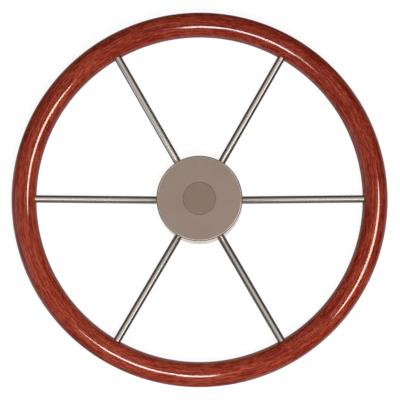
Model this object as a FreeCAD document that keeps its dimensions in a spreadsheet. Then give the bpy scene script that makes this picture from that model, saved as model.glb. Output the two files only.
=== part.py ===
import FreeCAD, Part
import Sketcher
import os

os.makedirs("parts", exist_ok=True)
doc = FreeCAD.newDocument("BoatSteeringWheel")

# Every size that can be set by itself, in millimetres unless noted
sizes = {
    # wooden rim: outer diameter, thickness of its round grip and height of the grip's centre over the back face
    "rimDiameter": 450.0,
    "gripThickness": 30.0,
    "rimHeight": 36.5,
    # the glued joint of the two wooden rings lies this far in front of the grip's centre
    "jointOffset": 3.5,
    # metal ring inside the wood, and the glue film around metal in wood
    "coreBarDiameter": 10.0,
    "glueGap": 0.15,
    # straight round spokes, whose axes would meet on the wheel's axis at the meeting height
    "spokeCount": 6,
    "spokeDiameter": 9.0,
    "spokeMeetingHeight": 20.0,
    "weldGap": 0.1,
    # turned boss with its back spigot, and the hub ring that sits on the spigot's shoulder and holds the spokes
    "spigotDiameter": 50.0,
    "spigotHeight": 4.5,
    "spigotShoulder": 2.0,
    "hubRingDiameter": 72.0,
    "hubRingThickness": 29.5,
    "hubChamfer": 1.0,
    # three-quarter inch shaft taper, one in twelve on the diameter, with its key seat and nut well
    "taperDiameter": 19.05,
    "taperRatio": 12.0,
    "nutSeatHeight": 26.0,
    "nutWellDiameter": 34.0,
    "keyWidth": 4.76,
    "keySeatDepth": 2.4,
    # drawn covers of the hub
    "hubDiameter": 103.0,
    "faceHeight": 46.0,
    "coverSheet": 1.5,
    "faceEdgeRadius": 2.5,
    "rearCornerRadius": 3.0,
    "lapHeight": 4.0,
    "lapFit": 0.15,
    "notchClearance": 0.35,
    "coverClearance": 0.25,
    # centre cap, flush in its recess, with its plug and rubber ring
    "capDiameter": 39.0,
    "capThickness": 1.5,
    "capFit": 0.1,
    "plugDepth": 10.0,
    "plugWall": 4.0,
    "plugClearance": 0.25,
    "sealDiameter": 2.4,
    "sealClearance": 0.05,
    # button-head screws of the rear cover
    "screwCount": 3,
    "screwDiameter": 4.0,
    "screwLength": 12.0,
    "screwHeadDiameter": 7.6,
    "screwHeadHeight": 2.2,
    "screwHeadRound": 1.6,
    "screwSocketWidth": 2.5,
    "screwSocketDepth": 1.3,
    "threadClearance": 0.05,
}

sheet = doc.addObject("Spreadsheet::Sheet", "Sizes")
for row, (alias, size) in enumerate(sizes.items(), start=1):
    sheet.set(f"A{row}", alias)
    sheet.set(f"B{row}", str(size))
    sheet.setAlias(f"B{row}", alias)
doc.recompute()

# Sizes that follow from the driving ones, as expressions
rim_radius = "((Sizes.rimDiameter - Sizes.gripThickness) / 2)"
ring_height = "(Sizes.rimHeight + Sizes.jointOffset)"
spoke_slope = f"(({ring_height} - Sizes.spokeMeetingHeight) / {rim_radius})"
spoke_stretch = f"sqrt(1 + {spoke_slope} ^ 2)"
hub_radius = "(Sizes.hubDiameter / 2)"
hub_inside = f"({hub_radius} - Sizes.coverSheet)"
hub_joint = f"(Sizes.spokeMeetingHeight + {spoke_slope} * ({hub_radius} - Sizes.coverSheet / 2))"
spigot_radius = "(Sizes.spigotDiameter / 2)"
sleeve_radius = f"({spigot_radius} - Sizes.spigotShoulder)"
hub_ring_radius = "(Sizes.hubRingDiameter / 2)"
hub_ring_bore = f"({sleeve_radius} + Sizes.weldGap)"
hub_ring_front = "(Sizes.spigotHeight + Sizes.hubRingThickness)"
spoke_start = f"({hub_ring_bore} + Sizes.spokeDiameter / 2 * {spoke_slope})"
well_radius = "(Sizes.nutWellDiameter / 2)"
recess_floor = "(Sizes.faceHeight - Sizes.capThickness)"
collar_top = f"({recess_floor} - Sizes.coverSheet)"
recess_radius = "(Sizes.capDiameter / 2 + Sizes.capFit)"
plug_radius = f"({well_radius} - Sizes.plugClearance)"
seal_height = f"({recess_floor} - Sizes.plugDepth / 2)"
rear_face = "(Sizes.spigotHeight - Sizes.coverSheet)"
screw_radius = f"(({spigot_radius} + {hub_ring_radius}) / 2)"


def value(expression):
    """Number that an expression gives now, used only to start a sketch near its solution."""
    return float(sheet.evalExpression(str(expression)))


def make_body(name):
    body = doc.addObject("PartDesign::Body", name)
    body.Label = name
    return body


def origin_feature(body, role):
    for feature in body.Origin.OriginFeatures:
        if feature.Role == role:
            return feature
    raise ValueError(role)


def make_sketch(body, name, plane):
    sketch = body.newObject("Sketcher::SketchObject", name)
    sketch.AttachmentSupport = [(origin_feature(body, plane), "")]
    sketch.MapMode = "FlatFace"
    return sketch


def raise_sketch(sketch, height):
    """Lift a sketch off its plane by a height along the plane's normal."""
    sketch.setExpression("AttachmentOffset.Base.z", height)


def tilt_sketch(sketch, start):
    """Set a sketch of the YZ plane square to the first spoke's axis, at a distance from the wheel's axis."""
    sketch.AttachmentOffset = FreeCAD.Placement(
        FreeCAD.Vector(0, 0, 0), FreeCAD.Rotation(FreeCAD.Vector(1, 0, 0), -1)
    )
    sketch.setExpression("AttachmentOffset.Base.y", f"Sizes.spokeMeetingHeight + {spoke_slope} * ({start})")
    sketch.setExpression("AttachmentOffset.Base.z", start)
    sketch.setExpression("AttachmentOffset.Rotation.Angle", f"-atan({spoke_slope})")


def place_point(sketch, geometry, end, x, y):
    """Tie a point of a sketch to its coordinates, each a number or an expression."""
    for direction, axis, coordinate in (("DistanceX", -2, x), ("DistanceY", -1, y)):
        if coordinate == "0":
            sketch.addConstraint(Sketcher.Constraint("PointOnObject", geometry, end, axis))
        else:
            number = sketch.addConstraint(
                Sketcher.Constraint(direction, -1, 1, geometry, end, value(coordinate))
            )
            sketch.setExpression(f"Constraints[{number}]", coordinate)


def draw_outline(sketch, points):
    """Closed outline of straight lines through points whose coordinates are expressions."""
    corners = [FreeCAD.Vector(value(x), value(y), 0) for x, y in points]
    count = len(corners)
    for index in range(count):
        sketch.addGeometry(Part.LineSegment(corners[index], corners[(index + 1) % count]), False)
    for index in range(count):
        sketch.addConstraint(Sketcher.Constraint("Coincident", index, 2, (index + 1) % count, 1))
    for index, (x, y) in enumerate(points):
        place_point(sketch, index, 1, x, y)


def draw_circle(sketch, x, y, diameter):
    """Circle by its centre and diameter, all expressions."""
    centre = FreeCAD.Vector(value(x), value(y), 0)
    circle = sketch.addGeometry(Part.Circle(centre, FreeCAD.Vector(0, 0, 1), value(diameter) / 2), False)
    place_point(sketch, circle, 3, x, y)
    number = sketch.addConstraint(Sketcher.Constraint("Diameter", circle, value(diameter)))
    sketch.setExpression(f"Constraints[{number}]", diameter)


def revolve(body, name, sketch, kind="Revolution", axis="V_Axis"):
    """Full turn of a sketch, added as a Revolution or cut away as a Groove."""
    feature = body.newObject("PartDesign::" + kind, name)
    feature.Profile = sketch
    feature.ReferenceAxis = (sketch, [axis])
    feature.Angle = 360
    return feature


def pad(body, name, sketch, length):
    feature = body.newObject("PartDesign::Pad", name)
    feature.Profile = sketch
    feature.setExpression("Length", length)
    return feature


def pocket(body, name, sketch, length):
    """Cut along the sketch's normal, away from its plane."""
    feature = body.newObject("PartDesign::Pocket", name)
    feature.Profile = sketch
    feature.Reversed = True
    feature.setExpression("Length", length)
    return feature


def around_axis(body, name, features, count, whole=False):
    """Repeat features, or the whole body, evenly around the wheel's axis."""
    doc.recompute()
    pattern = body.newObject("PartDesign::PolarPattern", name)
    if whole:
        pattern.TransformMode = "Whole shape"
    else:
        pattern.Originals = features
    pattern.Axis = (origin_feature(body, "Z_Axis"), [""])
    pattern.Angle = 360
    pattern.setExpression("Occurrences", count)
    body.Tip = pattern
    return pattern


def edges_at(feature, radius, height):
    """Names of the round edges that lie at a radius and a height."""
    names = []
    for index, edge in enumerate(feature.Shape.Edges, start=1):
        if isinstance(edge.Curve, Part.Circle):
            near_radius = abs(edge.Curve.Radius - value(radius)) < 0.01
            if near_radius and abs(edge.Curve.Center.z - value(height)) < 0.01:
                names.append(f"Edge{index}")
    return names


def round_edges(body, name, base, places, radius):
    """Fillet on the round edges at the given radii and heights."""
    doc.recompute()
    names = [edge for place in places for edge in edges_at(base, *place)]
    fillet = body.newObject("PartDesign::Fillet", name)
    fillet.Base = (base, names)
    fillet.setExpression("Radius", radius)
    return fillet


def cut_spoke_ways(body, start, length, clearance, open_height=None):
    """Round ways for the spokes, opened towards the front up to a height where the piece slides on from behind."""
    diameter = f"Sizes.spokeDiameter + 2 * {clearance}"
    sketch = make_sketch(body, "SpokeWaySketch", "YZ_Plane")
    tilt_sketch(sketch, start)
    draw_circle(sketch, "0", "0", diameter)
    ways = [pocket(body, "SpokeWay", sketch, length)]
    if open_height:
        side = f"({diameter}) / 2"
        mouth = make_sketch(body, "SpokeMouthSketch", "YZ_Plane")
        tilt_sketch(mouth, start)
        corners = [(f"-{side}", "0"), (side, "0"), (side, open_height), (f"-{side}", open_height)]
        draw_outline(mouth, corners)
        ways.append(pocket(body, "SpokeMouth", mouth, length))
    return around_axis(body, "SpokeWays", ways, "Sizes.spokeCount")


def make_rim_half(name, front):
    """Wooden half ring: a round grip cut at the joint, grooved for the metal ring and for each spoke."""
    body = make_body(name)
    grip = make_sketch(body, "GripSketch", "XZ_Plane")
    draw_circle(grip, rim_radius, "Sizes.rimHeight", "Sizes.gripThickness")
    revolve(body, "Grip", grip)

    joint = make_sketch(body, "JointSketch", "XY_Plane")
    raise_sketch(joint, ring_height)
    draw_circle(joint, "0", "0", "Sizes.rimDiameter + Sizes.gripThickness")
    half = pocket(body, "Joint", joint, "Sizes.gripThickness")
    half.Reversed = not front

    groove = make_sketch(body, "CoreGrooveSketch", "XZ_Plane")
    draw_circle(groove, rim_radius, ring_height, "Sizes.coreBarDiameter + 2 * Sizes.glueGap")
    revolve(body, "CoreGroove", groove, "Groove")

    start = f"({rim_radius} - Sizes.gripThickness)"
    length = f"Sizes.gripThickness * {spoke_stretch}"
    if front:
        cut_spoke_ways(body, start, length, "Sizes.glueGap")
    else:
        cut_spoke_ways(body, start, length, "Sizes.glueGap", "Sizes.gripThickness")
    return body


def make_core_ring():
    body = make_body("rim_core_ring")
    section = make_sketch(body, "BarSketch", "XZ_Plane")
    draw_circle(section, rim_radius, ring_height, "Sizes.coreBarDiameter")
    revolve(body, "Bar", section)
    return body


def make_spoke(number):
    """Straight round bar from the boss, through the hub ring, to the metal ring in the rim."""
    body = make_body(f"spoke_{number}")
    section = make_sketch(body, "BarSketch", "YZ_Plane")
    tilt_sketch(section, spoke_start)
    draw_circle(section, "0", "0", "Sizes.spokeDiameter")
    pad(body, "Bar", section, f"({rim_radius} - {spoke_start}) * {spoke_stretch}")

    saddle = make_sketch(body, "SaddleSketch", "XZ_Plane")
    draw_circle(saddle, rim_radius, ring_height, "Sizes.coreBarDiameter + 2 * Sizes.weldGap")
    revolve(body, "Saddle", saddle, "Groove")
    body.setExpression("Placement.Rotation.Angle", f"{number - 1} * 360 / Sizes.spokeCount")
    return body


def make_boss():
    """Turned boss with the shaft taper, its key seat and the nut well."""
    body = make_body("hub_boss")
    chamfer = "Sizes.hubChamfer"
    taper_back = "Sizes.taperDiameter / 2"
    taper_front = "Sizes.taperDiameter / 2 - Sizes.nutSeatHeight / Sizes.taperRatio / 2"
    section = make_sketch(body, "TurnedSketch", "XZ_Plane")
    draw_outline(section, [
        (taper_back, "0"),
        (f"{spigot_radius} - {chamfer}", "0"),
        (spigot_radius, chamfer),
        (spigot_radius, "Sizes.spigotHeight"),
        (sleeve_radius, "Sizes.spigotHeight"),
        (sleeve_radius, collar_top),
        (f"{well_radius} + {chamfer}", collar_top),
        (well_radius, f"{collar_top} - {chamfer}"),
        (well_radius, "Sizes.nutSeatHeight"),
        (taper_front, "Sizes.nutSeatHeight"),
    ])
    revolve(body, "Turned", section)

    key_side = "Sizes.keyWidth / 2"
    key_top = f"{taper_back} + Sizes.keySeatDepth"
    key = make_sketch(body, "KeySeatSketch", "XY_Plane")
    draw_outline(key, [(f"-{key_side}", "0"), (key_side, "0"), (key_side, key_top), (f"-{key_side}", key_top)])
    pocket(body, "KeySeat", key, "Sizes.nutSeatHeight")
    return body


def make_hub_ring():
    """Turned ring round the boss, bored through for each spoke and tapped for the rear cover's screws."""
    body = make_body("hub_ring")
    chamfer = "Sizes.hubChamfer"
    section = make_sketch(body, "TurnedSketch", "XZ_Plane")
    draw_outline(section, [
        (hub_ring_bore, "Sizes.spigotHeight"),
        (f"{hub_ring_radius} - {chamfer}", "Sizes.spigotHeight"),
        (hub_ring_radius, f"Sizes.spigotHeight + {chamfer}"),
        (hub_ring_radius, f"{hub_ring_front} - {chamfer}"),
        (f"{hub_ring_radius} - {chamfer}", hub_ring_front),
        (hub_ring_bore, hub_ring_front),
    ])
    revolve(body, "Turned", section)

    hole = make_sketch(body, "TappedHoleSketch", "XY_Plane")
    raise_sketch(hole, "Sizes.spigotHeight")
    draw_circle(hole, "0", screw_radius, "Sizes.screwDiameter + 2 * Sizes.threadClearance")
    tapped = pocket(body, "TappedHole", hole, "Sizes.screwLength")
    around_axis(body, "TappedHoles", [tapped], "Sizes.screwCount")

    start = f"({hub_ring_bore} - Sizes.spokeDiameter)"
    length = f"({hub_ring_radius} - {hub_ring_bore} + 2 * Sizes.spokeDiameter) * {spoke_stretch}"
    cut_spoke_ways(body, start, length, "Sizes.weldGap")
    return body


def make_front_cover():
    """Drawn cup: flat face with a rounded edge, a recess for the cap and a skirt notched for the spokes."""
    body = make_body("front_cover")
    hole = f"{well_radius} + Sizes.coverClearance"
    underside = "Sizes.faceHeight - Sizes.coverSheet"
    section = make_sketch(body, "SheetSketch", "XZ_Plane")
    draw_outline(section, [
        (hole, collar_top),
        (f"{recess_radius} + Sizes.coverSheet", collar_top),
        (f"{recess_radius} + Sizes.coverSheet", underside),
        (hub_inside, underside),
        (hub_inside, hub_joint),
        (hub_radius, hub_joint),
        (hub_radius, "Sizes.faceHeight"),
        (recess_radius, "Sizes.faceHeight"),
        (recess_radius, recess_floor),
        (hole, recess_floor),
    ])
    sheet_ring = revolve(body, "Sheet", section)
    outside = round_edges(
        body, "FaceEdge", sheet_ring, [(hub_radius, "Sizes.faceHeight")], "Sizes.faceEdgeRadius"
    )
    round_edges(
        body, "FaceEdgeInside", outside, [(hub_inside, underside)], "Sizes.faceEdgeRadius - Sizes.coverSheet"
    )
    cut_spoke_ways(body, f"({hub_radius} - Sizes.spokeDiameter)", "2 * Sizes.spokeDiameter", "Sizes.notchClearance")
    return body


def make_rear_cover():
    """Dished sheet on the hub ring's back, with a lip that laps inside the front cover."""
    body = make_body("rear_cover")
    hole = f"{spigot_radius} + Sizes.coverClearance"
    lap_outside = f"{hub_inside} - Sizes.lapFit"
    lap_inside = f"{lap_outside} - Sizes.coverSheet"
    lap_top = f"{hub_joint} + Sizes.lapHeight"
    lap_foot = f"{hub_joint} - Sizes.coverSheet"
    section = make_sketch(body, "SheetSketch", "XZ_Plane")
    draw_outline(section, [
        (hole, rear_face),
        (hub_radius, rear_face),
        (hub_radius, hub_joint),
        (lap_outside, hub_joint),
        (lap_outside, lap_top),
        (lap_inside, lap_top),
        (lap_inside, lap_foot),
        (hub_inside, lap_foot),
        (hub_inside, "Sizes.spigotHeight"),
        (hole, "Sizes.spigotHeight"),
    ])
    dish = revolve(body, "Sheet", section)
    outside = round_edges(body, "Corner", dish, [(hub_radius, rear_face)], "Sizes.rearCornerRadius")
    round_edges(
        body,
        "CornerInside",
        outside,
        [(hub_inside, "Sizes.spigotHeight")],
        "Sizes.rearCornerRadius - Sizes.coverSheet",
    )
    screw_hole = make_sketch(body, "ScrewHoleSketch", "XY_Plane")
    raise_sketch(screw_hole, rear_face)
    draw_circle(screw_hole, "0", screw_radius, "Sizes.screwDiameter + 2 * Sizes.coverClearance")
    hole_cut = pocket(body, "ScrewHole", screw_hole, "2 * Sizes.coverSheet")
    around_axis(body, "ScrewHoles", [hole_cut], "Sizes.screwCount")
    cut_spoke_ways(
        body,
        f"({hub_radius} - Sizes.spokeDiameter)",
        "2 * Sizes.spokeDiameter",
        "Sizes.notchClearance",
        "2 * Sizes.lapHeight",
    )
    return body


def make_cap():
    """Turned cap: a disc flush with the hub's face and a hollow plug grooved for the rubber ring."""
    body = make_body("centre_cap")
    plug_end = f"{recess_floor} - Sizes.plugDepth"
    bore = f"{plug_radius} - Sizes.plugWall"
    section = make_sketch(body, "TurnedSketch", "XZ_Plane")
    draw_outline(section, [
        ("0", "Sizes.faceHeight"),
        ("Sizes.capDiameter / 2", "Sizes.faceHeight"),
        ("Sizes.capDiameter / 2", recess_floor),
        (plug_radius, recess_floor),
        (plug_radius, plug_end),
        (bore, plug_end),
        (bore, recess_floor),
        ("0", recess_floor),
    ])
    revolve(body, "Turned", section)

    floor = f"{well_radius} - Sizes.sealDiameter - 2 * Sizes.sealClearance"
    half_width = "(Sizes.sealDiameter / 2 + Sizes.sealClearance)"
    groove = make_sketch(body, "SealGrooveSketch", "XZ_Plane")
    draw_outline(groove, [
        (floor, f"{seal_height} - {half_width}"),
        (well_radius, f"{seal_height} - {half_width}"),
        (well_radius, f"{seal_height} + {half_width}"),
        (floor, f"{seal_height} + {half_width}"),
    ])
    revolve(body, "SealGroove", groove, "Groove")
    return body


def make_seal():
    body = make_body("cap_o_ring")
    section = make_sketch(body, "CordSketch", "XZ_Plane")
    centre = f"{well_radius} - Sizes.sealClearance - Sizes.sealDiameter / 2"
    draw_circle(section, centre, seal_height, "Sizes.sealDiameter")
    revolve(body, "Cord", section)
    return body


def make_screws():
    """Button-head screws with a hexagon socket, heads on the rear cover and points towards the face."""
    body = make_body("rear_cover_screws")
    head_end = f"{rear_face} - Sizes.screwHeadHeight"
    point = f"{rear_face} + Sizes.screwLength"
    head_side = f"{screw_radius} + Sizes.screwHeadDiameter / 2"
    shank_side = f"{screw_radius} + Sizes.screwDiameter / 2"
    section = make_sketch(body, "TurnedSketch", "YZ_Plane")
    draw_outline(section, [
        (screw_radius, head_end),
        (head_side, head_end),
        (head_side, rear_face),
        (shank_side, rear_face),
        (shank_side, point),
        (screw_radius, point),
    ])
    middle = section.addGeometry(
        Part.LineSegment(
            FreeCAD.Vector(value(screw_radius), value(head_end), 0),
            FreeCAD.Vector(value(screw_radius), value(point), 0),
        ),
        True,
    )
    section.addConstraint(Sketcher.Constraint("Coincident", middle, 1, 0, 1))
    section.addConstraint(Sketcher.Constraint("Coincident", middle, 2, 5, 1))
    turned = revolve(body, "Turned", section, axis="Axis0")
    head_radius = "Sizes.screwHeadDiameter / 2"
    round_edges(body, "HeadRound", turned, [(head_radius, head_end)], "Sizes.screwHeadRound")

    across = "(Sizes.screwSocketWidth / 2)"
    corner = "(Sizes.screwSocketWidth / sqrt(3))"
    socket = make_sketch(body, "SocketSketch", "XY_Plane")
    raise_sketch(socket, head_end)
    draw_outline(socket, [
        ("0", f"{screw_radius} + {corner}"),
        (across, f"{screw_radius} + {corner} / 2"),
        (across, f"{screw_radius} - {corner} / 2"),
        ("0", f"{screw_radius} - {corner}"),
        (f"-{across}", f"{screw_radius} - {corner} / 2"),
        (f"-{across}", f"{screw_radius} + {corner} / 2"),
    ])
    pocket(body, "Socket", socket, "Sizes.screwSocketDepth")
    around_axis(body, "Screws", [], "Sizes.screwCount", whole=True)
    return body


nodes = [make_rim_half("rim_front", True), make_rim_half("rim_rear", False), make_core_ring()]
nodes += [make_spoke(number) for number in range(1, sizes["spokeCount"] + 1)]
nodes += [make_boss(), make_hub_ring(), make_front_cover(), make_rear_cover()]
nodes += [make_cap(), make_seal(), make_screws()]

doc.recompute()
for item in doc.Objects:
    if "Invalid" in item.State or "Error" in item.State:
        raise RuntimeError(f"{item.Name} failed: {item.getStatusString()}")
for node in nodes:
    if node.Shape.isNull() or not node.Shape.isValid():
        raise RuntimeError(f"{node.Label} has no valid shape")
for node in nodes:
    node.Shape.exportStep(f"parts/{node.Label}.step")
    print(node.Label, len(node.Shape.Solids), "solids", round(node.Shape.Volume, 1), "mm3")
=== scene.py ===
from math import atan, cos, pi, radians, sin

import bmesh
import bpy
from mathutils import Matrix, Vector


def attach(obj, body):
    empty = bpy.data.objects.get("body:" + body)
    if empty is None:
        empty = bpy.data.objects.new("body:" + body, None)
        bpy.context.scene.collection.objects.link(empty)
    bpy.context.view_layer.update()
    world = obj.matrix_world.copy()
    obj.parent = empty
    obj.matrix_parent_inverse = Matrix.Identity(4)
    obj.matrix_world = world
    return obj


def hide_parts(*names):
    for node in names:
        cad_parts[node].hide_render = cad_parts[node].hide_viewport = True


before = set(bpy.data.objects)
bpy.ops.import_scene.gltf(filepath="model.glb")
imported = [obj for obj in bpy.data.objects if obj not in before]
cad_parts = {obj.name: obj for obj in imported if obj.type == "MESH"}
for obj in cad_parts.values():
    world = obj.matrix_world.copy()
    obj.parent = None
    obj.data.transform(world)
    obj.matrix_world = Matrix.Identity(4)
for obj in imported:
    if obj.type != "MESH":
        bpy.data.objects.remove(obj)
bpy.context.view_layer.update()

bodyName = "root"
mm = 0.001
scene = bpy.context.scene

# Places that several pieces share, in millimetres, as in the CAD
layout = {
    "gripRadius": 210.0,  # wheel's axis to the middle of the grip
    "gripHeight": 36.5,
    "gripThickness": 30.0,
    "glueJoint": 40.0,  # height of the joint between the two wooden rings
    "coreBar": 10.0,
    "spokeCount": 6,
    "spokeDiameter": 9.0,
    "spokeMeeting": 20.0,  # height where the spokes' axes would meet
    "hubRadius": 51.5,
    "hubFace": 46.0,
    "sheet": 1.5,
    "spigotHeight": 4.5,
    "spigotRadius": 25.0,
    "wellRadius": 17.0,
    "screwCircle": 30.5,
    "screwAngles": (90, 210, 330),
    "notchReach": 8.0,  # how far a notch for a spoke is cut to each side of the hub's wall
}
spokeSlope = (layout["glueJoint"] - layout["spokeMeeting"]) / layout["gripRadius"]
spokeTilt = atan(spokeSlope)
hubJoint = layout["spokeMeeting"] + spokeSlope * (layout["hubRadius"] - layout["sheet"] / 2)
spokeAngles = [radians(360 / layout["spokeCount"] * n) for n in range(layout["spokeCount"])]


# Helpers for materials

def shade(hexText):  # sRGB hex to the linear colour that the shader takes
    channels = [int(hexText[i:i + 2], 16) / 255 for i in (1, 3, 5)]
    return [c / 12.92 if c <= 0.04045 else ((c + 0.055) / 1.055) ** 2.4 for c in channels] + [1.0]


def addNode(tree, kind, settings=None, links=None):
    node = tree.nodes.new("ShaderNode" + kind)
    for name, setting in (settings or {}).items():
        if name == "stops":
            while len(node.color_ramp.elements) < len(setting):
                node.color_ramp.elements.new(1.0)
            for element, (place, hexText) in zip(node.color_ramp.elements, setting):
                element.position = place
                element.color = shade(hexText)
        elif isinstance(name, int) or name in node.inputs:
            node.inputs[name].default_value = setting
        else:
            setattr(node, name, setting)
    for name, source in (links or {}).items():
        tree.links.new(source, node.inputs[name])
    return node


def newMaterial(name):
    material = bpy.data.materials.new(name)
    material.use_nodes = True
    material.node_tree.nodes.clear()
    return material, material.node_tree


# Varnished mahogany: sawn hardwood rings, routed round, stained red and brushed with many coats of clear varnish.
# The eye sees short grain that runs nearly along the ring, orange flecks between dark red streaks, open pores as
# fine dashes, and a thick level gloss over it.
mahogany = {
    "heart": "#661208",
    "body": "#872A15",
    "light": "#A24631",
    "glue": "#2A0E0A",
    "toneStops": (0.41, 0.5, 0.6),  # where the blend of the patterns is heart, body and light
    # length along the ring and width across it in mm, detail and roughness of the noise
    "figure": (70.0, 4.0, 2.0, 0.5),
    "grain": (38.0, 1.1, 1.0, 0.5),
    "flecks": (7.0, 1.1, 1.0, 0.6),
    "pores": (6.0, 0.6, 1.0, 0.5),  # real pores are 0.2 mm wide, drawn coarser so that they show
    "figureShare": 0.14,
    "grainShare": 0.46,
    "fleckShare": 0.4,
    "poreEdge": (0.58, 0.7),
    "poreShare": 0.6,
    "driftLength": 95.45,  # mm along the ring
    "driftAcross": 16.0,
    "boardOffset": 17.3,  # keeps the patterns of the two boards apart
    "paintedLightHeading": (-0.74, -0.67, 0.0),  # painted light: the ring's colour is made a little lighter on this side, where the light falls
    "paintedLightWeight": 0.02,
    "glueLine": (0.1, 0.25),  # mm each side of the joint, between which the dark line fades
    "glueShare": 0.7,
}


def makeWood():
    wood, tree = newMaterial("varnishedMahogany")
    place = addNode(tree, "TexCoord").outputs["Object"]
    axes = addNode(tree, "SeparateXYZ", links={0: place})
    flat = addNode(tree, "CombineXYZ", links={0: axes.outputs[0], 1: axes.outputs[1]}).outputs[0]
    reach = addNode(tree, "VectorMath", {"operation": "LENGTH"}, {0: flat}).outputs["Value"]
    heading = addNode(tree, "VectorMath", {"operation": "NORMALIZE"}, {0: flat}).outputs[0]
    height = axes.outputs[2]

    # the fibres wander some millimetres across the grip on their way round
    driftScale = layout["gripRadius"] / mahogany["driftLength"]
    drift = addNode(tree, "TexNoise", {"Scale": driftScale, "Detail": 2.0}, {"Vector": heading}).outputs[0]
    span = mahogany["driftAcross"] * mm
    shift = addNode(tree, "Math", {"operation": "MULTIPLY_ADD", 1: span, 2: -span / 2}, {0: drift}).outputs[0]
    across = addNode(tree, "Math", {"operation": "ADD"}, {0: reach, 1: shift}).outputs[0]
    # each ring is cut from a board of its own
    front = addNode(tree, "Math", {"operation": "GREATER_THAN", 1: layout["glueJoint"] * mm},
                    {0: height}).outputs[0]

    def grain(length, width, detail, roughness):
        alongScale = layout["gripRadius"] / length
        acrossScale = 1 / (width * mm)
        ringPart = addNode(tree, "VectorMath", {"operation": "SCALE", "Scale": alongScale}, {0: heading}).outputs[0]
        lift = addNode(tree, "Math", {"operation": "MULTIPLY", 1: acrossScale}, {0: across}).outputs[0]
        stack = addNode(tree, "CombineXYZ", links={2: lift}).outputs[0]
        point = addNode(tree, "VectorMath", {"operation": "ADD"}, {0: ringPart, 1: stack}).outputs[0]
        depth = addNode(tree, "Math", {"operation": "MULTIPLY", 1: acrossScale}, {0: height}).outputs[0]
        board = addNode(tree, "Math", {"operation": "MULTIPLY_ADD", 1: mahogany["boardOffset"]},
                        {0: front, 2: depth}).outputs[0]
        return addNode(
            tree, "TexNoise",
            {"noise_dimensions": "4D", "Scale": 1.0, "Detail": detail, "Roughness": roughness},
            {"Vector": point, "W": board},
        ).outputs[0]

    figure, fibres, flecks, pores = [grain(*mahogany[name]) for name in ("figure", "grain", "flecks", "pores")]
    blend = addNode(tree, "Math", {"operation": "MULTIPLY", 1: mahogany["figureShare"]}, {0: figure}).outputs[0]
    # painted light: the wood's tone is raised towards the lower left of the ring, the lit side
    paintedSideLight = addNode(tree, "VectorMath", {"operation": "DOT_PRODUCT", 1: mahogany["paintedLightHeading"]}, {0: heading})
    for share, pattern in (
            (mahogany["grainShare"], fibres), (mahogany["fleckShare"], flecks),
            (mahogany["paintedLightWeight"], paintedSideLight.outputs["Value"])):
        blend = addNode(tree, "Math", {"operation": "MULTIPLY_ADD", 1: share}, {0: pattern, 2: blend}).outputs[0]
    tones = list(zip(mahogany["toneStops"], (mahogany["heart"], mahogany["body"], mahogany["light"])))
    tone = addNode(tree, "ValToRGB", {"stops": tones}, {0: blend}).outputs[0]
    shallow, deep = mahogany["poreEdge"]
    poreMask = addNode(tree, "MapRange", {"From Min": shallow, "From Max": deep, "To Max": mahogany["poreShare"]},
                       {0: pores}).outputs[0]
    pored = addNode(tree, "Mix", {"data_type": "RGBA", 7: shade(mahogany["heart"])},
                    {0: poreMask, 6: tone}).outputs[2]

    # dark glue line along the joint
    offJoint = addNode(tree, "Math", {"operation": "SUBTRACT", 1: layout["glueJoint"] * mm}, {0: height}).outputs[0]
    nearJoint = addNode(tree, "Math", {"operation": "ABSOLUTE"}, {0: offJoint}).outputs[0]
    near, far = mahogany["glueLine"]
    glue = addNode(
        tree, "MapRange",
        {"From Min": near * mm, "From Max": far * mm, "To Min": mahogany["glueShare"], "To Max": 0.0},
        {0: nearJoint},
    ).outputs[0]
    coloured = addNode(tree, "Mix", {"data_type": "RGBA", 7: shade(mahogany["glue"])},
                       {0: glue, 6: pored}).outputs[2]

    shader = addNode(tree, "BsdfPrincipled", {
        "Roughness": 0.5, "IOR": 1.5, "Specular IOR Level": 0.0,
        "Coat Weight": 1.0, "Coat Roughness": 0.08, "Coat IOR": 1.5}, {"Base Color": coloured})
    addNode(tree, "OutputMaterial", links={0: shader.outputs[0]})
    return wood


# Polished stainless bar: drawn bar, belt polished along its length.
# The eye sees soft-edged reflections with very faint lengthwise lines.
polishedBar = {"metal": "#DAD5CF", "lineWidth": 0.3, "lineLength": 80.0, "gloss": (0.17, 0.21)}


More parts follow.
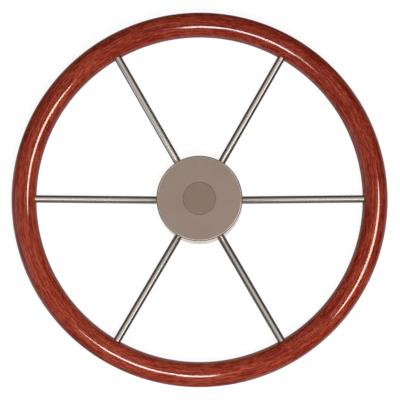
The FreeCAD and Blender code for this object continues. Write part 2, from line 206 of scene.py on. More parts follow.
def makePolishedSteel():
    steel, tree = newMaterial("polishedStainlessBar")
    place = addNode(tree, "TexCoord").outputs["Object"]
    axes = addNode(tree, "SeparateXYZ", links={0: place})
    flat = addNode(tree, "CombineXYZ", links={0: axes.outputs[0], 1: axes.outputs[1]}).outputs[0]
    reach = addNode(tree, "VectorMath", {"operation": "LENGTH"}, {0: flat}).outputs["Value"]
    # distance from the nearest spoke's axis, sideways and upwards
    turn = addNode(tree, "Math", {"operation": "ARCTAN2"}, {0: axes.outputs[1], 1: axes.outputs[0]}).outputs[0]
    turns = addNode(tree, "Math", {"operation": "MULTIPLY", 1: layout["spokeCount"]}, {0: turn}).outputs[0]
    wave = addNode(tree, "Math", {"operation": "SINE"}, {0: turns}).outputs[0]
    side = addNode(tree, "Math", {"operation": "MULTIPLY"}, {0: wave, 1: reach}).outputs[0]
    drop = addNode(tree, "Math", {"operation": "MULTIPLY_ADD", 1: -spokeSlope},
                   {0: reach, 2: axes.outputs[2]}).outputs[0]
    bar = addNode(tree, "CombineXYZ", links={0: reach, 1: side, 2: drop}).outputs[0]
    fine = 1 / (polishedBar["lineWidth"] * mm)
    stretch = (1 / (polishedBar["lineLength"] * mm), fine / layout["spokeCount"], fine)
    streak = addNode(tree, "VectorMath", {"operation": "MULTIPLY", 1: stretch}, {0: bar}).outputs[0]
    lines = addNode(tree, "TexNoise", {"Scale": 1.0, "Detail": 2.0}, {"Vector": streak}).outputs[0]
    low, high = polishedBar["gloss"]
    gloss = addNode(tree, "MapRange", {"From Min": 0.3, "From Max": 0.7, "To Min": low, "To Max": high},
                    {0: lines}).outputs[0]
    shader = addNode(tree, "BsdfPrincipled", {"Base Color": shade(polishedBar["metal"]), "Metallic": 1.0},
                     {"Roughness": gloss})
    addNode(tree, "OutputMaterial", links={0: shader.outputs[0]})
    return steel


# Satin stainless sheet: drawn cup, its face blasted with fine glass beads, its edge and side polished.
# The eye sees an even warm grey that hardly changes with the view, with the faintest grain, and a bright side; the
# side's brightness is partly its polish and partly a lighter colour painted on as reflection of the floor.
satinSheet = {
    "metal": "#BFAC9F",
    "capMetal": "#B39F8F",
    "bright": "#DDD4CC",  # the polished edge and side, given a lighter colour as painted reflection
    "grit": 0.35,  # mm, coarser than real beads so that it shows
    "gritTone": (0.96, 1.04),
    "gritBump": 0.15,
    "gritDepth": 0.02,
    "cloud": 30.0,
    "gloss": (0.5, 0.6),
    "brightGloss": 0.12,
    "brightEdge": 1.8,  # mm that the blasting stays inside the cup's outside
}


def makeSatin(name, metalHex, polishedFrom=None):
    satin, tree = newMaterial(name)
    place = addNode(tree, "TexCoord").outputs["Object"]
    grit, cloud = [
        addNode(tree, "TexNoise", {"Scale": 1 / (satinSheet[size] * mm), "Detail": 2.0},
                {"Vector": place}).outputs[0]
        for size in ("grit", "cloud")]
    low, high = satinSheet["gloss"]
    gloss = addNode(tree, "MapRange", {"To Min": low, "To Max": high}, {0: cloud}).outputs[0]
    dark, light = satinSheet["gritTone"]
    tint = addNode(tree, "MapRange", {"From Min": 0.3, "From Max": 0.7, "To Min": dark, "To Max": light},
                   {0: grit}).outputs[0]
    colour = addNode(tree, "VectorMath", {"operation": "SCALE", 0: shade(metalHex)[:3]}, {"Scale": tint}).outputs[0]
    strength = satinSheet["gritBump"]
    bump = addNode(tree, "Bump", {"Strength": strength, "Distance": satinSheet["gritDepth"] * mm},
                   {"Height": grit}).outputs[0]
    if polishedFrom:
        # the blasting stops where the face starts to round over, and there the colour turns lighter as painted
        # reflection
        axes = addNode(tree, "SeparateXYZ", links={0: place})
        flat = addNode(tree, "CombineXYZ", links={0: axes.outputs[0], 1: axes.outputs[1]}).outputs[0]
        reach = addNode(tree, "VectorMath", {"operation": "LENGTH"}, {0: flat}).outputs["Value"]
        polished = addNode(tree, "Math", {"operation": "GREATER_THAN", 1: polishedFrom * mm}, {0: reach}).outputs[0]
        gloss = addNode(tree, "Mix", {3: satinSheet["brightGloss"]}, {0: polished, 2: gloss}).outputs[0]
        # painted reflection: the polished edge and side take the lighter colour
        colour = addNode(tree, "Mix", {"data_type": "RGBA", 7: shade(satinSheet["bright"])},
                         {0: polished, 6: colour}).outputs[2]
        level = addNode(tree, "Math", {"operation": "MULTIPLY_ADD", 1: -strength, 2: strength},
                        {0: polished}).outputs[0]
        tree.links.new(level, bump.node.inputs["Strength"])
    shader = addNode(tree, "BsdfPrincipled", {"Metallic": 1.0},
                     {"Base Color": colour, "Roughness": gloss, "Normal": bump})
    addNode(tree, "OutputMaterial", links={0: shader.outputs[0]})
    return satin


# Turned stainless steel: faced and bored on a lathe. The drawn bar inside the rim and the screws get it too.
# The eye sees fine rings round the axis that spread each highlight across them.
turnedSteel = {
    # colour, and mm between tool marks, coarser than real so that they show
    "turnedStainless": ("#A9A6A2", 0.5),
    "drawnSteelBar": ("#8F8D8A", 1.2),
    "screwStainless": ("#B9B6B2", 0.4),
    "ridgeBump": 0.35,
    "ridgeDepth": 0.02,
    "blotch": 8.0,
    "gloss": (0.22, 0.4),
}


def makeTurned(name):
    metalHex, feed = turnedSteel[name]
    turned, tree = newMaterial(name)
    place = addNode(tree, "TexCoord").outputs["Object"]
    axes = addNode(tree, "SeparateXYZ", links={0: place})
    flat = addNode(tree, "CombineXYZ", links={0: axes.outputs[0], 1: axes.outputs[1]}).outputs[0]
    reach = addNode(tree, "VectorMath", {"operation": "LENGTH"}, {0: flat}).outputs["Value"]
    path = addNode(tree, "Math", {"operation": "ADD"}, {0: reach, 1: axes.outputs[2]}).outputs[0]
    turns = addNode(tree, "Math", {"operation": "MULTIPLY", 1: 2 * pi / (feed * mm)}, {0: path}).outputs[0]
    ridge = addNode(tree, "Math", {"operation": "SINE"}, {0: turns}).outputs[0]
    bump = addNode(tree, "Bump", {"Strength": turnedSteel["ridgeBump"], "Distance": turnedSteel["ridgeDepth"] * mm},
                   {"Height": ridge}).outputs[0]
    blotch = addNode(tree, "TexNoise", {"Scale": 1 / (turnedSteel["blotch"] * mm), "Detail": 3.0},
                     {"Vector": place}).outputs[0]
    low, high = turnedSteel["gloss"]
    gloss = addNode(tree, "MapRange", {"To Min": low, "To Max": high}, {0: blotch}).outputs[0]
    shader = addNode(tree, "BsdfPrincipled", {"Base Color": shade(metalHex), "Metallic": 1.0},
                     {"Roughness": gloss, "Normal": bump})
    addNode(tree, "OutputMaterial", links={0: shader.outputs[0]})
    return turned


# Nitrile rubber: moulded O-ring. The eye sees matt black with a little dust.
nitrile = {"dust": 1.5, "tones": [(0.35, "#141414"), (0.75, "#262524")]}


def makeRubber():
    rubber, tree = newMaterial("nitrileRubber")
    place = addNode(tree, "TexCoord").outputs["Object"]
    dust = addNode(tree, "TexNoise", {"Scale": 1 / (nitrile["dust"] * mm), "Detail": 4.0},
                   {"Vector": place}).outputs[0]
    colour = addNode(tree, "ValToRGB", {"stops": nitrile["tones"]}, {0: dust}).outputs[0]
    shader = addNode(tree, "BsdfPrincipled", {"Roughness": 0.6, "IOR": 1.52}, {"Base Color": colour})
    addNode(tree, "OutputMaterial", links={0: shader.outputs[0]})
    return rubber


woodMaterial = makeWood()
barMaterial = makePolishedSteel()
coverMaterial = makeSatin(
    "satinStainlessSheet", satinSheet["metal"], layout["hubRadius"] - satinSheet["brightEdge"])
capMaterial = makeSatin("satinStainlessCap", satinSheet["capMetal"])
turnedMaterial, coreMaterial, screwMaterial = [
    makeTurned(name) for name in ("turnedStainless", "drawnSteelBar", "screwStainless")]
rubberMaterial = makeRubber()
print("materials made")


# Helpers for meshes
meshing = {
    "edgeMargin": 0.3,  # mm past a rounding where a point holds the flat beside it
    "longestShare": 0.9,  # of an edge, past which it gets no such point
    "mergeWithin": 0.0005,  # mm
    "planeWithin": 1e-6,  # mm from the joint's plane that counts as on it
    "sharpAngle": 35,  # degrees, past which an edge stays crisp
    "cutterSegments": 64,
}


def turnOutline(outline, rounds, steps):
    # an outline of (radius, height) corners in mm, turned about the wheel's axis;
    # rounds gives the radius and segments of the corners that are rounded, by their number from 0
    bm = bmesh.new()
    corners = [bm.verts.new((radius * mm, 0, height * mm)) for radius, height in outline]
    for here, after in zip(corners, corners[1:] + corners[:1]):
        if here.co.x > 0 or after.co.x > 0:
            bm.edges.new((here, after))
    for index, (radius, segments) in rounds.items():
        # a point just outside each rounding keeps the faces beside it flat to the eye
        for edge in list(corners[index].link_edges):
            share = (radius + meshing["edgeMargin"]) * mm / edge.calc_length()
            if share < meshing["longestShare"]:
                bmesh.utils.edge_split(edge, corners[index], share)
        bmesh.ops.bevel(
            bm, geom=[corners[index]], offset=radius * mm, offset_type="OFFSET", segments=segments,
            profile=0.5, affect="VERTICES", material=-1,
        )
    bmesh.ops.spin(
        bm, geom=bm.verts[:] + bm.edges[:], cent=(0, 0, 0), axis=(0, 0, 1), angle=2 * pi, steps=steps,
        use_merge=True,
    )
    return bm


def addRod(bm, radius, length, segments, place=Matrix()):
    bmesh.ops.create_cone(
        bm, cap_ends=True, segments=segments, radius1=radius * mm, radius2=radius * mm, depth=length * mm,
        matrix=place,
    )


def spokePlace(start, end, angle):
    # where an upright rod goes to lie along a spoke's axis, between two distances from the wheel's axis
    middle = (end + start) / 2 / cos(spokeTilt)
    lying = Matrix.Translation((middle * mm, 0, 0)) @ Matrix.Rotation(pi / 2, 4, "Y")
    tilted = Matrix.Translation((0, 0, layout["spokeMeeting"] * mm)) @ Matrix.Rotation(-spokeTilt, 4, "Y") @ lying
    return Matrix.Rotation(angle, 4, "Z") @ tilted


def screwPlace(angle, height):
    out = Matrix.Translation((layout["screwCircle"] * mm, 0, height * mm))
    return Matrix.Rotation(radians(angle), 4, "Z") @ out


def objectFrom(bm, name):
    bmesh.ops.remove_doubles(bm, verts=bm.verts, dist=meshing["mergeWithin"] * mm)
    bmesh.ops.recalc_face_normals(bm, faces=bm.faces)
    mesh = bpy.data.meshes.new(name)
    bm.to_mesh(mesh)
    bm.free()
    made = bpy.data.objects.new(name, mesh)
    scene.collection.objects.link(made)
    return made


def makeSpokeCutter(gap, start, end):
    bm = bmesh.new()
    for angle in spokeAngles:
        addRod(bm, layout["spokeDiameter"] / 2 + gap, (end - start) / cos(spokeTilt), meshing["cutterSegments"],
               spokePlace(start, end, angle))
    return objectFrom(bm, "spokeCutter")


def carve(piece, cutters):
    # cut closed shapes out of a piece for good
    for cutter in cutters:
        cut = piece.modifiers.new("cut", "BOOLEAN")
        cut.operation = "DIFFERENCE"
        cut.solver = "EXACT"
        cut.object = cutter
    depsgraph = bpy.context.evaluated_depsgraph_get()
    carved = bpy.data.meshes.new_from_object(piece.evaluated_get(depsgraph))
    piece.modifiers.clear()
    piece.data = carved
    for cutter in cutters:
        bpy.data.objects.remove(cutter)


def dress(piece, material, replaced):
    piece.data.materials.clear()
    piece.data.materials.append(material)
    piece.data.polygons.foreach_set("material_index", [0] * len(piece.data.polygons))
    piece.data.polygons.foreach_set("use_smooth", [True] * len(piece.data.polygons))
    piece.data.set_sharp_from_angle(angle=radians(meshing["sharpAngle"]))
    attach(piece, bodyName)
    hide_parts(*replaced)
    print("made", piece.name, len(piece.data.polygons), "faces")


# Wooden rim: two rings glued together over the metal ring
rim = {
    "sectionSegments": 96,
    "ringSteps": 384,
    "grooveSegments": 32,
    "glueFilm": 0.15,
    "spokeGap": 0.25,
    "socketStart": 185.0,  # the holes for the spokes are cut from here to just short of the grip's middle
    "socketShort": 2.0,
}


def makeRimHalf(name, nodeName, isFront):
    bm = bmesh.new()
    joint = Vector((0, 0, layout["glueJoint"] * mm))
    groove = layout["coreBar"] / 2 + rim["glueFilm"]
    for radius, height, segments in (
        (layout["gripThickness"] / 2, layout["gripHeight"], rim["sectionSegments"]),
        (groove, layout["glueJoint"], rim["grooveSegments"]),
    ):
        ring = bmesh.ops.create_circle(bm, cap_ends=False, segments=segments, radius=radius * mm)["verts"]
        standing = Matrix.Translation((layout["gripRadius"] * mm, 0, height * mm)) @ Matrix.Rotation(pi / 2, 4, "X")
        bmesh.ops.transform(bm, matrix=standing, verts=ring)
    bmesh.ops.bisect_plane(
        bm, geom=bm.verts[:] + bm.edges[:], dist=meshing["planeWithin"] * mm, plane_co=joint,
        plane_no=(0, 0, 1), clear_inner=isFront, clear_outer=not isFront,
    )
    ends = sorted((v for v in bm.verts if len(v.link_edges) == 1), key=lambda v: v.co.x)
    bm.edges.new(ends[:2])
    bm.edges.new(ends[2:])
    bmesh.ops.spin(
        bm, geom=bm.verts[:] + bm.edges[:], cent=(0, 0, 0), axis=(0, 0, 1), angle=2 * pi,
        steps=rim["ringSteps"], use_merge=True,
    )
    half = objectFrom(bm, name)
    carve(half, [makeSpokeCutter(rim["spokeGap"], rim["socketStart"], layout["gripRadius"] - rim["socketShort"])])
    dress(half, woodMaterial, [nodeName])


makeRimHalf("rimFrontRing", "rim_front", True)
makeRimHalf("rimRearRing", "rim_rear", False)

# Spokes: round bars that run on into the hub and the rim
spokes = {"segments": 96, "start": 23.6, "end": 204.8, "endRound": 0.4}
for number, angle in enumerate(spokeAngles, start=1):
    bm = bmesh.new()
    length = (spokes["end"] - spokes["start"]) / cos(spokeTilt)
    addRod(bm, layout["spokeDiameter"] / 2, length, spokes["segments"])
    rims = [e for e in bm.edges if abs(e.verts[0].co.z - e.verts[1].co.z) < meshing["mergeWithin"] * mm]
    bmesh.ops.bevel(
        bm, geom=rims, offset=spokes["endRound"] * mm, offset_type="OFFSET", segments=3, profile=0.5,
        affect="EDGES", material=-1,
    )
    bmesh.ops.transform(bm, matrix=spokePlace(spokes["start"], spokes["end"], angle), verts=bm.verts)
    dress(objectFrom(bm, f"spokeBar{number}"), barMaterial, [f"spoke_{number}"])

# Front cover: drawn cup with a recess for the cap
frontCover = {
    "faceEdge": 1.9,  # sharper than in the CAD, where it is 2.5, for the thin light line along it
    "recessRadius": 19.6,
    "recessDepth": 1.5,
    "lip": 0.2,
    "holeFit": 0.25,
    "notchGap": 0.35,
    "steps": 256,
}


def makeFrontCover():
    face = layout["hubFace"]
    sheet = layout["sheet"]
    outside = layout["hubRadius"]
    recess = frontCover["recessRadius"]
    floor = face - frontCover["recessDepth"]
    hole = layout["wellRadius"] + frontCover["holeFit"]
    outline = [
        (hole, floor - sheet), (recess + sheet, floor - sheet), (recess + sheet, face - sheet),
        (outside - sheet, face - sheet), (outside - sheet, hubJoint), (outside, hubJoint),
        (outside, face), (recess, face), (recess, floor), (hole, floor),
    ]
    rounds = {6: (frontCover["faceEdge"], 10), 3: (frontCover["faceEdge"] - sheet, 6), 7: (frontCover["lip"], 3)}
    cover = objectFrom(turnOutline(outline, rounds, frontCover["steps"]), "frontCoverCup")
    reach = layout["notchReach"]
    carve(cover, [makeSpokeCutter(frontCover["notchGap"], outside - reach, outside + reach)])
    dress(cover, coverMaterial, ["front_cover"])


makeFrontCover()

# Rear cover: dished sheet with a lip that laps inside the front cover
rearCover = {
    "corner": 3.0,
    "lapHeight": 4.0,
    "lapFit": 0.15,
    "holeFit": 0.25,
    "screwHole": 2.25,  # radius
    "screwHoleSegments": 48,
    "cutDepth": 8.0,  # of the cutters for the screws and for the mouths that let the spokes into the lip
    "steps": 256,
}


def makeRearCover():
    sheet = layout["sheet"]
    outside = layout["hubRadius"]
    back = layout["spigotHeight"] - sheet
    lap = outside - sheet - rearCover["lapFit"]
    lapTop = hubJoint + rearCover["lapHeight"]
    hole = layout["spigotRadius"] + rearCover["holeFit"]
    outline = [
        (hole, back), (outside, back), (outside, hubJoint), (lap, hubJoint), (lap, lapTop), (lap - sheet, lapTop),
        (lap - sheet, hubJoint - sheet), (outside - sheet, hubJoint - sheet), (outside - sheet, back + sheet),
        (hole, back + sheet),
    ]
    rounds = {1: (rearCover["corner"], 10), 8: (rearCover["corner"] - sheet, 8)}
    cover = objectFrom(turnOutline(outline, rounds, rearCover["steps"]), "rearCoverDish")
    reach = layout["notchReach"]
    notch = frontCover["notchGap"]
    depth = rearCover["cutDepth"]
    cutters = [makeSpokeCutter(notch, outside - reach, outside + reach)]
    bm = bmesh.new()
    for angle in spokeAngles:
        mouth = Matrix.Translation((outside * mm, 0, (hubJoint + depth / 2) * mm)) @ Matrix.Diagonal(
            (2 * reach * mm, (layout["spokeDiameter"] + 2 * notch) * mm, depth * mm, 1))
        bmesh.ops.create_cube(bm, size=1, matrix=Matrix.Rotation(angle, 4, "Z") @ mouth)
    cutters.append(objectFrom(bm, "mouthCutter"))
    bm = bmesh.new()
    for angle in layout["screwAngles"]:
        addRod(bm, rearCover["screwHole"], depth, rearCover["screwHoleSegments"], screwPlace(angle, back))
    cutters.append(objectFrom(bm, "holeCutter"))
    carve(cover, cutters)
    dress(cover, coverMaterial, ["rear_cover"])


makeRearCover()

# Centre cap: turned disc flush with the face, with a hollow plug grooved for the rubber ring
centreCap = {
    "radius": 19.5,
    "thickness": 1.5,
    "edge": 0.2,
    "plugDepth": 10.0,
    "plugWall": 4.0,
    "plugFit": 0.25,
    "plugEdge": 0.5,
    "grooveRadius": 14.5,
    "grooveWidth": 2.5,
    "steps": 192,
}


def makeCap():
    face = layout["hubFace"]
    floor = face - centreCap["thickness"]
    plug = layout["wellRadius"] - centreCap["plugFit"]
    inside = plug - centreCap["plugWall"]
    end = floor - centreCap["plugDepth"]
    seal = floor - centreCap["plugDepth"] / 2
    groove = centreCap["grooveRadius"]
    above, below = seal + centreCap["grooveWidth"] / 2, seal - centreCap["grooveWidth"] / 2
    outline = [
        (0, face), (centreCap["radius"], face), (centreCap["radius"], floor), (plug, floor),
        (plug, above), (groove, above), (groove, below), (plug, below),
        (plug, end), (inside, end), (inside, floor), (0, floor),
    ]
    rounds = {1: (centreCap["edge"], 3), 8: (centreCap["plugEdge"], 3)}
    cap = objectFrom(turnOutline(outline, rounds, centreCap["steps"]), "centreCapDisc")
    dress(cap, capMaterial, ["centre_cap"])


makeCap()

# Boss: turned, with the shaft taper, its key seat and the nut well
boss = {
    "sleeveRadius": 23.0,
    "chamfer": 1.0,
    "belowFace": 3.0,
    "taperBack": 9.525,  # the bore's radius at the back
    "taperRate": 1 / 24,  # on the radius, one in twelve on the diameter
    "nutSeat": 26.0,
    "keyWidth": 4.76,
    "keyDepth": 2.4,
    "keyCutter": 40.0,  # longer than the bore, so that it cuts through
    "steps": 192,
}


def makeBoss():
    top = layout["hubFace"] - boss["belowFace"]
    chamfer = boss["chamfer"]
    back = boss["taperBack"]
    seat = boss["nutSeat"]
    spigot = layout["spigotRadius"]
    well = layout["wellRadius"]
    outline = [
        (back, 0), (spigot - chamfer, 0), (spigot, chamfer), (spigot, layout["spigotHeight"]),
        (boss["sleeveRadius"], layout["spigotHeight"]), (boss["sleeveRadius"], top), (well + chamfer, top),
        (well, top - chamfer), (well, seat), (back - seat * boss["taperRate"], seat),
    ]
    turned = objectFrom(turnOutline(outline, {}, boss["steps"]), "hubBossTurning")
    bm = bmesh.new()
    keyReach = back + boss["keyDepth"]
    key = Matrix.Translation((0, keyReach / 2 * mm, seat / 2 * mm)) @ Matrix.Diagonal(
        (boss["keyWidth"] * mm, keyReach * mm, boss["keyCutter"] * mm, 1))
    bmesh.ops.create_cube(bm, size=1, matrix=key)
    carve(turned, [objectFrom(bm, "keyCutter")])
    dress(turned, turnedMaterial, ["hub_boss"])


makeBoss()

# Button-head screws with a hexagon socket
screws = {
    "headRadius": 3.8,
    "headHeight": 2.2,
    "headRound": 1.6,
    "shank": 2.0,
    "length": 12.0,
    "endRound": 0.4,
    "socketAcross": 2.5,
    "socketDepth": 1.3,
    "steps": 64,
}


def makeScrews():
    head = layout["spigotHeight"] - layout["sheet"] - screws["headHeight"]
    seat = head + screws["headHeight"]
    outline = [
        (0, head), (screws["headRadius"], head), (screws["headRadius"], seat), (screws["shank"], seat),
        (screws["shank"], seat + screws["length"]), (0, seat + screws["length"]),
    ]
    rounds = {1: (screws["headRound"], 8), 4: (screws["endRound"], 2)}
    one = objectFrom(turnOutline(outline, rounds, screws["steps"]), "rearCoverScrews")
    bm = bmesh.new()
    corner = screws["socketAcross"] / 3 ** 0.5  # from the middle of the hexagon
    addRod(bm, corner, 2 * screws["socketDepth"], 6, Matrix.Translation((0, 0, head * mm)))
    carve(one, [objectFrom(bm, "socketCutter")])
    bm = bmesh.new()
    for angle in layout["screwAngles"]:
        before = set(bm.verts)
        bm.from_mesh(one.data)
        added = [v for v in bm.verts if v not in before]
        bmesh.ops.transform(bm, matrix=screwPlace(angle, 0), verts=added)
    bm.to_mesh(one.data)
    bm.free()
    dress(one, screwMaterial, ["rear_cover_screws"])


makeScrews()

# CAD nodes that stay as they are and get a finish
for nodeName, material in {
    "rim_core_ring": coreMaterial, "hub_ring": turnedMaterial, "cap_o_ring": rubberMaterial,
}.items():
    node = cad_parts[nodeName]
    node.data.materials.clear()
    node.data.materials.append(material)
print("pieces made")

# Studio: what the metal and varnish see, the light, and the floor
studio = {
    "ambient": 0.12,
    "floorSize": 12.0,
    "floorMatt": "#AAAAAA",  # what the floor gives back to the wheel
    "floorGlow": 0.86,  # share of the floor's white that no shadow dims
    "floorWhite": 1.035,
    # reflections from straight down to straight up: pale floor, dark room, dim ceiling
    "room": [
        (0.0, "#9A9896"), (0.1, "#7A7876"), (0.213, "#5A5855"), (0.413, "#403E3B"),
        (0.604, "#434140"), (0.711, "#55534F"), (0.808, "#716E6A"), (0.883, "#807D79"), (0.953, "#8C8985"),
        (1.0, "#92908C")],
    "paleSide": (-0.3, -0.95, 0.0),  # the side on which the room is a little lighter
    "paleSideLevel": 0.16,
    "paleSideFrom": 0.3,  # cosine of the angle at which it starts
}


def makeStudio():
    world = bpy.data.worlds.new("studio")
    scene.world = world
    world.use_nodes = True
    world.cycles.sampling_method = "NONE"
    tree = world.node_tree
    tree.nodes.clear()
    ray = addNode(tree, "LightPath")
    direction = addNode(tree, "TexCoord").outputs["Generated"]
    up = addNode(tree, "SeparateXYZ", links={0: direction}).outputs[2]
    level = addNode(tree, "MapRange", {"From Min": -1.0, "From Max": 1.0}, {0: up}).outputs[0]
    seen = addNode(tree, "ValToRGB", {"stops": studio["room"]}, {0: level}).outputs[0]
    facing = addNode(tree, "VectorMath", {"operation": "DOT_PRODUCT", 1: studio["paleSide"]}, {0: direction})
    lobe = addNode(
        tree, "MapRange", {"From Min": studio["paleSideFrom"], "From Max": 1.0, "To Max": studio["paleSideLevel"]},
        {0: facing.outputs["Value"]},
    ).outputs[0]
    lit = addNode(tree, "VectorMath", {"operation": "ADD"}, {0: seen, 1: lobe}).outputs[0]
    plain = addNode(tree, "Mix", {"data_type": "RGBA", 6: [studio["ambient"]] * 3 + [1.0]},
                    {0: ray.outputs["Is Glossy Ray"], 7: lit}).outputs[2]
    whole = addNode(tree, "Mix", {"data_type": "RGBA", 7: [1.0] * 4},
                    {0: ray.outputs["Is Camera Ray"], 6: plain}).outputs[2]
    background = addNode(tree, "Background", {"Strength": 1.0}, {0: whole})
    addNode(tree, "OutputWorld", links={0: background.outputs[0]})

    bm = bmesh.new()
    bmesh.ops.create_grid(bm, x_segments=1, y_segments=1, size=studio["floorSize"] / 2)
    floor = objectFrom(bm, "studioFloor")
    paper, tree = newMaterial("paleFloor")
    ray = addNode(tree, "LightPath")
    matt = addNode(tree, "BsdfDiffuse", {"Color": shade(studio["floorMatt"])})
    glow = addNode(tree, "Emission", {"Color": [1.0] * 4, "Strength": studio["floorWhite"]})
    shadowed = addNode(tree, "BsdfDiffuse", {"Color": [1.0] * 4})
    forCamera = addNode(tree, "MixShader", {0: studio["floorGlow"]}, {1: shadowed.outputs[0], 2: glow.outputs[0]})
    whole = addNode(tree, "MixShader", links={
        0: ray.outputs["Is Camera Ray"], 1: matt.outputs[0], 2: forCamera.outputs[0]})
    addNode(tree, "OutputMaterial", links={0: whole.outputs[0]})
    floor.data.materials.append(paper)
    floor.visible_glossy = False


def addLamp(name, towards, distance, size, turn, radiance, onlyFor=None, shape="RECTANGLE", tint="#FFFFFF",
            hidden="diffuse"):
    # flat soft lamp, seen from the wheel in the direction towards = (x, y) of a unit vector, facing the wheel;
    # its first side lies along the heading turn, seen from above, and rays of the hidden kind don't meet it
    light = bpy.data.lights.new(name, "AREA")
    light.shape = shape
    light.size, light.size_y = size
    fill = pi / 4 if shape == "ELLIPSE" else 1.0
    light.energy = radiance * size[0] * size[1] * fill * pi
    light.color = shade(tint)[:3]
    lamp = bpy.data.objects.new(name, light)
    scene.collection.objects.link(lamp)
    x, y = towards
    normal = Vector((x, y, (1 - x * x - y * y) ** 0.5))
    side = Vector((cos(radians(turn)), sin(radians(turn)), 0))
    side = (side - side.dot(normal) * normal).normalized()
    other = normal.cross(side)
    centre = Vector((0, 0, layout["gripHeight"] * mm))
    lamp.matrix_world = Matrix.Translation(centre + distance * normal) @ Matrix(
        (side, other, normal)).transposed().to_4x4()
    lamp.visible_camera = False
    setattr(lamp, "visible_" + hidden, False)
    # a lamp that no reflection shows is sampled directly alone, or part of its light counts twice
    light.cycles.use_multiple_importance_sampling = hidden != "glossy"
    if onlyFor:
        lamp.light_linking.receiver_collection = onlyFor
    return lamp


makeStudio()
# The varnish takes sharp bright lines from soft boxes, and the metal takes broader, much dimmer ones.
woodOnly, metalOnly, coversOnly, upperLeftBar = [
    bpy.data.collections.new(name) for name in ("woodOnly", "metalOnly", "coversOnly", "upperLeftBar")]
for piece in [o for o in scene.objects if o.type == "MESH" and o.name != "studioFloor"]:
    isWood = woodMaterial.name in piece.data.materials
    (woodOnly if isWood else metalOnly).objects.link(piece)
    if piece.name in ("frontCoverCup", "rearCoverDish"):
        coversOnly.objects.link(piece)
upperLeftBar.objects.link(bpy.data.objects["spokeBar3"])

# Lamps that only reflections show: direction, distance and size in m, heading of the first side, radiance,
# receivers, shape and tint. The two boards low on the left pale the left flanks of the wood, and barBoard pales the
# left flank of one spoke.
reflected = {
    "boxRight": ((0.545, -0.095), 5.0, (2.6, 1.6), 84, 20.0, woodOnly, "ELLIPSE", "#FFEEDD"),
    "boxFront": ((-0.024, -0.389), 5.0, (0.58, 1.2), 3, 20.0, woodOnly, "RECTANGLE", "#FFFBF7"),
    "boxFrontLeft": ((-0.169, -0.325), 5.0, (1.0, 1.15), 321, 20.0, woodOnly, "RECTANGLE", "#FFFBF7"),
    "boxFrontEnd": ((-0.245, -0.225), 5.0, (0.45, 0.6), 300, 14.0, woodOnly, "ELLIPSE", "#FFFBF7"),
    "metalRight": ((0.54, -0.2), 5.0, (2.6, 1.3), 70, 2.0, metalOnly, "RECTANGLE", "#FFF8F0"),
    "metalFront": ((0.0, -0.34), 5.0, (2.5, 0.7), 0, 2.1, metalOnly, "RECTANGLE", "#FFFFFF"),
    "lowBoard": ((-0.84, -0.1), 3.0, (1.5, 0.8), 280, 0.5, woodOnly, "RECTANGLE", "#FFFFFF"),
    "paleLeft": ((-0.985, -0.1), 3.0, (1.6, 1.0), 276, 0.9, woodOnly, "RECTANGLE", "#FFFFFF"),
    "barBoard": ((-0.835, -0.435), 5.0, (1.9, 2.6), 119, 0.8, upperLeftBar, "RECTANGLE", "#FFFFFF"),
    "paperAbove": ((0.0, 0.0), 5.0, (6.6, 6.6), 0, 0.4, metalOnly, "ELLIPSE", "#FFFFFF"),
}
for name, values in reflected.items():
    addLamp(name, *values)

# Two lamps on the upper sides draw the thin light line on the edge of the hub's face
edgeLamps = {
    "headings": {"edgeLeft": 132, "edgeRight": 48},
    "slant": 0.33,
    "distance": 5.0,
    "size": (1.2, 0.35),
    "radiance": 1.6,
}
for name, heading in edgeLamps["headings"].items():
    towards = [edgeLamps["slant"] * part for part in (cos(radians(heading)), sin(radians(heading)))]
    addLamp(name, towards, edgeLamps["distance"], edgeLamps["size"], heading + 90, edgeLamps["radiance"],
            coversOnly)

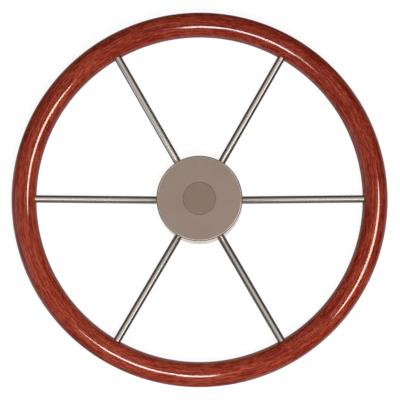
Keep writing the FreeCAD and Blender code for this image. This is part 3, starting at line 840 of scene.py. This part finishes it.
# Papers that lie 1 mm over the floor and shine up: heading of the middle and its distance from the axis in m, size
# in m, radiance, receivers, shape and tint. The strips pale the outer flank of the ring near its edge.
papers = {
    "paperInside": (0, 0.0, (0.33, 0.33), 0.4, woodOnly, "ELLIPSE", "#FFFFFF"),
    "paperUnderHub": (0, 0.0, (0.37, 0.37), 0.45, coversOnly, "ELLIPSE", "#FFF6EC"),
    "paperRight": (12, 0.28, (0.1, 0.28), 0.35, woodOnly, "RECTANGLE", "#FFFFFF"),
    "paperUpperLeft": (132, 0.28, (0.1, 0.28), 0.15, woodOnly, "RECTANGLE", "#FFFFFF"),
    "paperLeft": (192, 0.28, (0.1, 0.28), 0.45, woodOnly, "RECTANGLE", "#FFFFFF"),
    "paperFrontRight": (312, 0.28, (0.1, 0.28), 0.4, woodOnly, "RECTANGLE", "#FFFFFF"),
}
for name, (heading, out, size, radiance, receivers, shape, tint) in papers.items():
    paper = addLamp(name, (0, 0), 1.0, size, 0, radiance, receivers, shape, tint)
    paper.matrix_world = Matrix.Rotation(radians(heading), 4, "Z") @ Matrix.Translation(
        (out, 0, 1 * mm)) @ Matrix.Rotation(pi, 4, "X")

# Lamps that light the wheel and that no reflection shows: direction, distance and size in m, heading of the first
# side, and the light that reaches the wheel as a share of plain white
fills = {
    "fillAbove": ((0.05, -0.2), 3.5, (1.2, 1.2), 0, 0.86),
    "fillFront": ((0.3, -0.7), 3.0, (1.5, 1.0), 23, 0.3),
}
for name, (towards, distance, size, turn, level) in fills.items():
    addLamp(name, towards, distance, size, turn, level * pi * distance ** 2 / (size[0] * size[1]), hidden="glossy")
print("studio made")

# Camera: a long lens nearly six degrees off the shaft's axis, as the photograph shows the hub's lower side
camera = {
    "tiltDown": 5.7,
    "tiltSide": 0.8,
    "distance": 5.0,
    "sensor": 36,
    "lens": 376.3,
    "clip": (0.05, 60),
    "aim": (0.65, -1.04),  # mm
}


def makeCamera():
    data = bpy.data.cameras.new("photoCamera")
    data.sensor_width = camera["sensor"]
    data.lens = camera["lens"]
    data.clip_start, data.clip_end = camera["clip"]
    made = bpy.data.objects.new("photoCamera", data)
    scene.collection.objects.link(made)
    x, y = sin(radians(camera["tiltSide"])), -sin(radians(camera["tiltDown"]))
    back = Vector((x, y, (1 - x * x - y * y) ** 0.5))
    right = Vector((1, 0, 0))
    right = (right - right.dot(back) * back).normalized()
    aim = Vector((camera["aim"][0] * mm, camera["aim"][1] * mm, layout["gripHeight"] * mm))
    made.matrix_world = Matrix.Translation(aim + camera["distance"] * back) @ Matrix(
        (right, back.cross(right), back)).transposed().to_4x4()
    scene.camera = made


makeCamera()
scene.view_settings.view_transform = "Standard"
